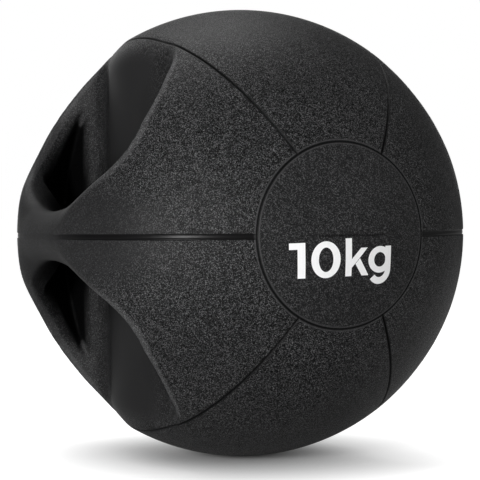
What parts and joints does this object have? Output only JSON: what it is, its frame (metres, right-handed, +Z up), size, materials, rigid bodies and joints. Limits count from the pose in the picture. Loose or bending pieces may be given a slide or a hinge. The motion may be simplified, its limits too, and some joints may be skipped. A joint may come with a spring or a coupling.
{
  "type": "medicine ball",
  "caption": "Rubber medicine ball with a hand grip moulded across a pocket in each side, a bonded upper and lower cover, a weighted carcass and an air bladder.",
  "frame": {"origin": "centre of the ball", "axes": "+Z up, square to the parting plane between the two covers; +Y from the marked front panel to the rear, along both grips; +X from the left grip to the right grip"},
  "size_m": [0.28, 0.28, 0.28],
  "materials": {
    "cover_rubber": "fine pebble grain, satin",
    "grip_rubber": "matt",
    "filled_rubber": "matt, mineral filled",
    "butyl_rubber": "smooth, satin",
    "valve_rubber": "smooth"
  },
  "bodies": {
    "root": {"upper_cover": "cover_rubber", "lower_cover": "cover_rubber", "left_grip_core": "grip_rubber", "right_grip_core": "grip_rubber", "upper_ballast": "filled_rubber", "lower_ballast": "filled_rubber", "bladder": "butyl_rubber", "valve_boot": "butyl_rubber", "valve_core": "valve_rubber"}
  },
  "joints": []
}
